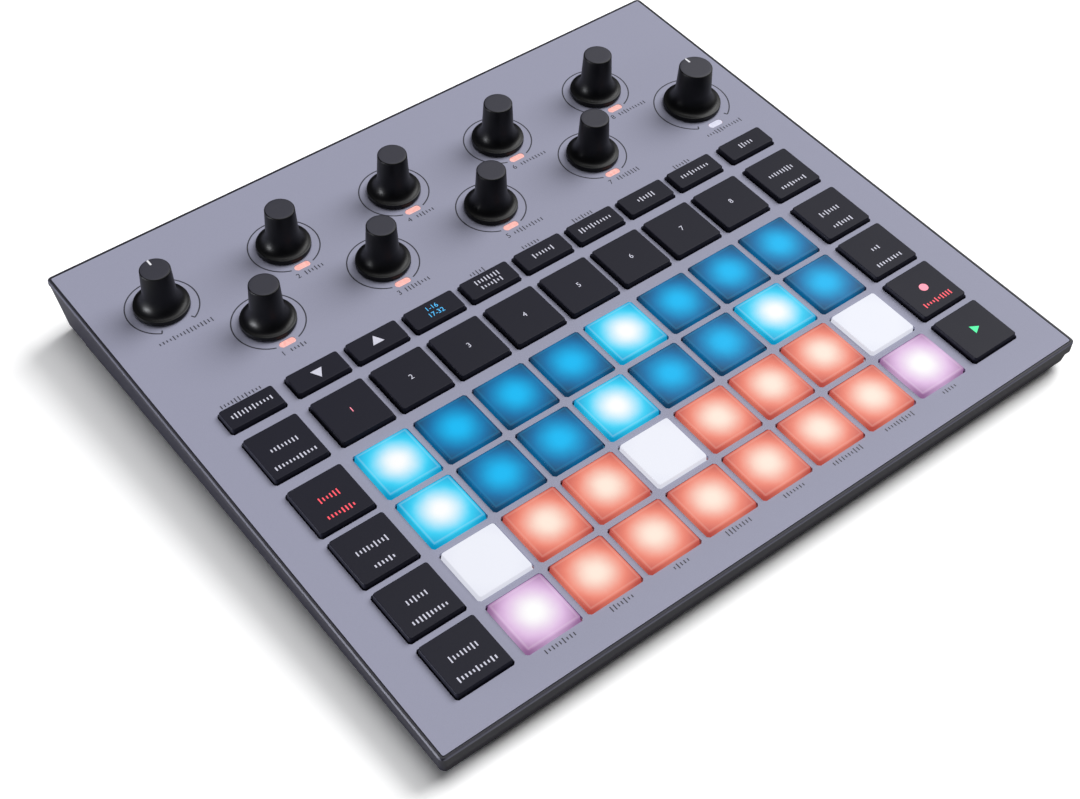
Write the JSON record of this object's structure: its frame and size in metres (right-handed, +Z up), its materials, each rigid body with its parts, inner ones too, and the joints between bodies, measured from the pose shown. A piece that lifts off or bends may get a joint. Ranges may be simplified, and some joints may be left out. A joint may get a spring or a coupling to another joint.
{
  "type": "drum machine",
  "caption": "Wedge-shaped desktop drum machine with a tilted grey panel, a grid of lit square pads, rows of flat keys, and flared knobs that turn.",
  "frame": {"origin": "centre of the footprint, on the table under the rubber feet", "axes": "+X to the player's right, +Y to the back where the sockets are, +Z up"},
  "size_m": [0.24, 0.21, 0.0372],
  "materials": {
    "panel_grey": "satin lilac-grey lacquer",
    "case_black": "fine moulded grain",
    "key_dark": "satin, with light legends",
    "pad_white": "translucent silicone, lit from below",
    "knob_black": "matte grip, glossier skirt",
    "lamp_clear": "clear light pipe, lit",
    "mat_silicone": "translucent silicone",
    "board_green": "solder mask",
    "socket_black": "moulded",
    "metal_bright": "plated",
    "battery_wrap": "shrink film",
    "feet_rubber": "matte"
  },
  "bodies": {
    "case": {"bottom_shell": "case_black", "top_case": "case_black", "faceplate": "panel_grey", "main_board": "board_green", "pad_board": "board_green", "knob_board": "board_green", "pad_mat": "mat_silicone", "knob_encoders": "metal_bright", "light_pipes": "lamp_clear", "battery": "battery_wrap", "rubber_feet": "feet_rubber", "screws": "metal_bright", "line_jacks": "socket_black", "mini_jacks": "socket_black", "usb_socket": "metal_bright", "card_socket": "metal_bright", "power_switch": "socket_black"},
    "top_key_1_body": {"top_key_1": "key_dark"},
    "top_key_2_body": {"top_key_2": "key_dark"},
    "top_key_3_body": {"top_key_3": "key_dark"},
    "top_key_4_body": {"top_key_4": "key_dark"},
    "top_key_5_body": {"top_key_5": "key_dark"},
    "top_key_6_body": {"top_key_6": "key_dark"},
    "top_key_7_body": {"top_key_7": "key_dark"},
    "top_key_8_body": {"top_key_8": "key_dark"},
    "top_key_9_body": {"top_key_9": "key_dark"},
    "top_key_10_body": {"top_key_10": "key_dark"},
    "track_key_1_body": {"track_key_1": "key_dark"},
    "track_key_2_body": {"track_key_2": "key_dark"},
    "track_key_3_body": {"track_key_3": "key_dark"},
    "track_key_4_body": {"track_key_4": "key_dark"},
    "track_key_5_body": {"track_key_5": "key_dark"},
    "track_key_6_body": {"track_key_6": "key_dark"},
    "track_key_7_body": {"track_key_7": "key_dark"},
    "track_key_8_body": {"track_key_8": "key_dark"},
    "left_key_1_body": {"left_key_1": "key_dark"},
    "left_key_2_body": {"left_key_2": "key_dark"},
    "left_key_3_body": {"left_key_3": "key_dark"},
    "left_key_4_body": {"left_key_4": "key_dark"},
    "left_key_5_body": {"left_key_5": "key_dark"},
    "right_key_1_body": {"right_key_1": "key_dark"},
    "right_key_2_body": {"right_key_2": "key_dark"},
    "right_key_3_body": {"right_key_3": "key_dark"},
    "right_key_4_body": {"right_key_4": "key_dark"},
    "right_key_5_body": {"right_key_5": "key_dark"},
    "pad_row_1_body": {"pad_row_1": "pad_white"},
    "pad_row_2_body": {"pad_row_2": "pad_white"},
    "pad_row_3_body": {"pad_row_3": "pad_white"},
    "pad_row_4_body": {"pad_row_4": "pad_white"},
    "volume_knob_body": {"volume_knob": "knob_black"},
    "macro_knob_1_body": {"macro_knob_1": "knob_black"},
    "macro_knob_2_body": {"macro_knob_2": "knob_black"},
    "macro_knob_3_body": {"macro_knob_3": "knob_black"},
    "macro_knob_4_body": {"macro_knob_4": "knob_black"},
    "macro_knob_5_body": {"macro_knob_5": "knob_black"},
    "macro_knob_6_body": {"macro_knob_6": "knob_black"},
    "macro_knob_7_body": {"macro_knob_7": "knob_black"},
    "macro_knob_8_body": {"macro_knob_8": "knob_black"},
    "filter_knob_body": {"filter_knob": "knob_black"},
    "power_button_body": {"power_button": "key_dark"}
  },
  "joints": [
    {"name": "top_key_1_press", "type": "slide", "parent": "case", "child": "top_key_1_body", "axis": [0, 0.0523, -0.9986], "range_m": [0, 0.0008], "stiffness_N_per_m": 500},
    {"name": "top_key_2_press", "type": "slide", "parent": "case", "child": "top_key_2_body", "axis": [0, 0.0523, -0.9986], "range_m": [0, 0.0008], "stiffness_N_per_m": 500},
    {"name": "top_key_3_press", "type": "slide", "parent": "case", "child": "top_key_3_body", "axis": [0, 0.0523, -0.9986], "range_m": [0, 0.0008], "stiffness_N_per_m": 500},
    {"name": "top_key_4_press", "type": "slide", "parent": "case", "child": "top_key_4_body", "axis": [0, 0.0523, -0.9986], "range_m": [0, 0.0008], "stiffness_N_per_m": 500},
    {"name": "top_key_5_press", "type": "slide", "parent": "case", "child": "top_key_5_body", "axis": [0, 0.0523, -0.9986], "range_m": [0, 0.0008], "stiffness_N_per_m": 500},
    {"name": "top_key_6_press", "type": "slide", "parent": "case", "child": "top_key_6_body", "axis": [0, 0.0523, -0.9986], "range_m": [0, 0.0008], "stiffness_N_per_m": 500},
    {"name": "top_key_7_press", "type": "slide", "parent": "case", "child": "top_key_7_body", "axis": [0, 0.0523, -0.9986], "range_m": [0, 0.0008], "stiffness_N_per_m": 500},
    {"name": "top_key_8_press", "type": "slide", "parent": "case", "child": "top_key_8_body", "axis": [0, 0.0523, -0.9986], "range_m": [0, 0.0008], "stiffness_N_per_m": 500},
    {"name": "top_key_9_press", "type": "slide", "parent": "case", "child": "top_key_9_body", "axis": [0, 0.0523, -0.9986], "range_m": [0, 0.0008], "stiffness_N_per_m": 500},
    {"name": "top_key_10_press", "type": "slide", "parent": "case", "child": "top_key_10_body", "axis": [0, 0.0523, -0.9986], "range_m": [0, 0.0008], "stiffness_N_per_m": 500},
    {"name": "track_key_1_press", "type": "slide", "parent": "case", "child": "track_key_1_body", "axis": [0, 0.0523, -0.9986], "range_m": [0, 0.0008], "stiffness_N_per_m": 500},
    {"name": "track_key_2_press", "type": "slide", "parent": "case", "child": "track_key_2_body", "axis": [0, 0.0523, -0.9986], "range_m": [0, 0.0008], "stiffness_N_per_m": 500},
    {"name": "track_key_3_press", "type": "slide", "parent": "case", "child": "track_key_3_body", "axis": [0, 0.0523, -0.9986], "range_m": [0, 0.0008], "stiffness_N_per_m": 500},
    {"name": "track_key_4_press", "type": "slide", "parent": "case", "child": "track_key_4_body", "axis": [0, 0.0523, -0.9986], "range_m": [0, 0.0008], "stiffness_N_per_m": 500},
    {"name": "track_key_5_press", "type": "slide", "parent": "case", "child": "track_key_5_body", "axis": [0, 0.0523, -0.9986], "range_m": [0, 0.0008], "stiffness_N_per_m": 500},
    {"name": "track_key_6_press", "type": "slide", "parent": "case", "child": "track_key_6_body", "axis": [0, 0.0523, -0.9986], "range_m": [0, 0.0008], "stiffness_N_per_m": 500},
    {"name": "track_key_7_press", "type": "slide", "parent": "case", "child": "track_key_7_body", "axis": [0, 0.0523, -0.9986], "range_m": [0, 0.0008], "stiffness_N_per_m": 500},
    {"name": "track_key_8_press", "type": "slide", "parent": "case", "child": "track_key_8_body", "axis": [0, 0.0523, -0.9986], "range_m": [0, 0.0008], "stiffness_N_per_m": 500},
    {"name": "left_key_1_press", "type": "slide", "parent": "case", "child": "left_key_1_body", "axis": [0, 0.0523, -0.9986], "range_m": [0, 0.0008], "stiffness_N_per_m": 500},
    {"name": "left_key_2_press", "type": "slide", "parent": "case", "child": "left_key_2_body", "axis": [0, 0.0523, -0.9986], "range_m": [0, 0.0008], "stiffness_N_per_m": 500},
    {"name": "left_key_3_press", "type": "slide", "parent": "case", "child": "left_key_3_body", "axis": [0, 0.0523, -0.9986], "range_m": [0, 0.0008], "stiffness_N_per_m": 500},
    {"name": "left_key_4_press", "type": "slide", "parent": "case", "child": "left_key_4_body", "axis": [0, 0.0523, -0.9986], "range_m": [0, 0.0008], "stiffness_N_per_m": 500},
    {"name": "left_key_5_press", "type": "slide", "parent": "case", "child": "left_key_5_body", "axis": [0, 0.0523, -0.9986], "range_m": [0, 0.0008], "stiffness_N_per_m": 500},
    {"name": "right_key_1_press", "type": "slide", "parent": "case", "child": "right_key_1_body", "axis": [0, 0.0523, -0.9986], "range_m": [0, 0.0008], "stiffness_N_per_m": 500},
    {"name": "right_key_2_press", "type": "slide", "parent": "case", "child": "right_key_2_body", "axis": [0, 0.0523, -0.9986], "range_m": [0, 0.0008], "stiffness_N_per_m": 500},
    {"name": "right_key_3_press", "type": "slide", "parent": "case", "child": "right_key_3_body", "axis": [0, 0.0523, -0.9986], "range_m": [0, 0.0008], "stiffness_N_per_m": 500},
    {"name": "right_key_4_press", "type": "slide", "parent": "case", "child": "right_key_4_body", "axis": [0, 0.0523, -0.9986], "range_m": [0, 0.0008], "stiffness_N_per_m": 500},
    {"name": "right_key_5_press", "type": "slide", "parent": "case", "child": "right_key_5_body", "axis": [0, 0.0523, -0.9986], "range_m": [0, 0.0008], "stiffness_N_per_m": 500},
    {"name": "pad_row_1_press", "type": "slide", "parent": "case", "child": "pad_row_1_body", "axis": [0, 0.0523, -0.9986], "range_m": [0, 0.0005], "stiffness_N_per_m": 4000},
    {"name": "pad_row_2_press", "type": "slide", "parent": "case", "child": "pad_row_2_body", "axis": [0, 0.0523, -0.9986], "range_m": [0, 0.0005], "stiffness_N_per_m": 4000},
    {"name": "pad_row_3_press", "type": "slide", "parent": "case", "child": "pad_row_3_body", "axis": [0, 0.0523, -0.9986], "range_m": [0, 0.0005], "stiffness_N_per_m": 4000},
    {"name": "pad_row_4_press", "type": "slide", "parent": "case", "child": "pad_row_4_body", "axis": [0, 0.0523, -0.9986], "range_m": [0, 0.0005], "stiffness_N_per_m": 4000},
    {"name": "volume_knob_turn", "type": "hinge", "parent": "case", "child": "volume_knob_body", "pos_m": [-0.097, 0.07306, 0.02081], "axis": [0, -0.0523, 0.9986], "range_deg": [-150, 150]},
    {"name": "macro_knob_1_turn", "type": "hinge", "parent": "case", "child": "macro_knob_1_body", "pos_m": [-0.0742, 0.04849, 0.01953], "axis": [0, -0.0523, 0.9986], "continuous": true},
    {"name": "macro_knob_2_turn", "type": "hinge", "parent": "case", "child": "macro_knob_2_body", "pos_m": [-0.053, 0.07306, 0.02081], "axis": [0, -0.0523, 0.9986], "continuous": true},
    {"name": "macro_knob_3_turn", "type": "hinge", "parent": "case", "child": "macro_knob_3_body", "pos_m": [-0.0318, 0.04849, 0.01953], "axis": [0, -0.0523, 0.9986], "continuous": true},
    {"name": "macro_knob_4_turn", "type": "hinge", "parent": "case", "child": "macro_knob_4_body", "pos_m": [-0.0106, 0.07306, 0.02081], "axis": [0, -0.0523, 0.9986], "continuous": true},
    {"name": "macro_knob_5_turn", "type": "hinge", "parent": "case", "child": "macro_knob_5_body", "pos_m": [0.0106, 0.04849, 0.01953], "axis": [0, -0.0523, 0.9986], "continuous": true},
    {"name": "macro_knob_6_turn", "type": "hinge", "parent": "case", "child": "macro_knob_6_body", "pos_m": [0.0318, 0.07306, 0.02081], "axis": [0, -0.0523, 0.9986], "continuous": true},
    {"name": "macro_knob_7_turn", "type": "hinge", "parent": "case", "child": "macro_knob_7_body", "pos_m": [0.053, 0.04849, 0.01953], "axis": [0, -0.0523, 0.9986], "continuous": true},
    {"name": "macro_knob_8_turn", "type": "hinge", "parent": "case", "child": "macro_knob_8_body", "pos_m": [0.0742, 0.07306, 0.02081], "axis": [0, -0.0523, 0.9986], "continuous": true},
    {"name": "filter_knob_turn", "type": "hinge", "parent": "case", "child": "filter_knob_body", "pos_m": [0.097, 0.04849, 0.01953], "axis": [0, -0.0523, 0.9986], "range_deg": [-150, 150]},
    {"name": "power_button_press", "type": "slide", "parent": "case", "child": "power_button_body", "axis": [0, -1, 0], "range_m": [0, 0.001], "stiffness_N_per_m": 800}
  ]
}
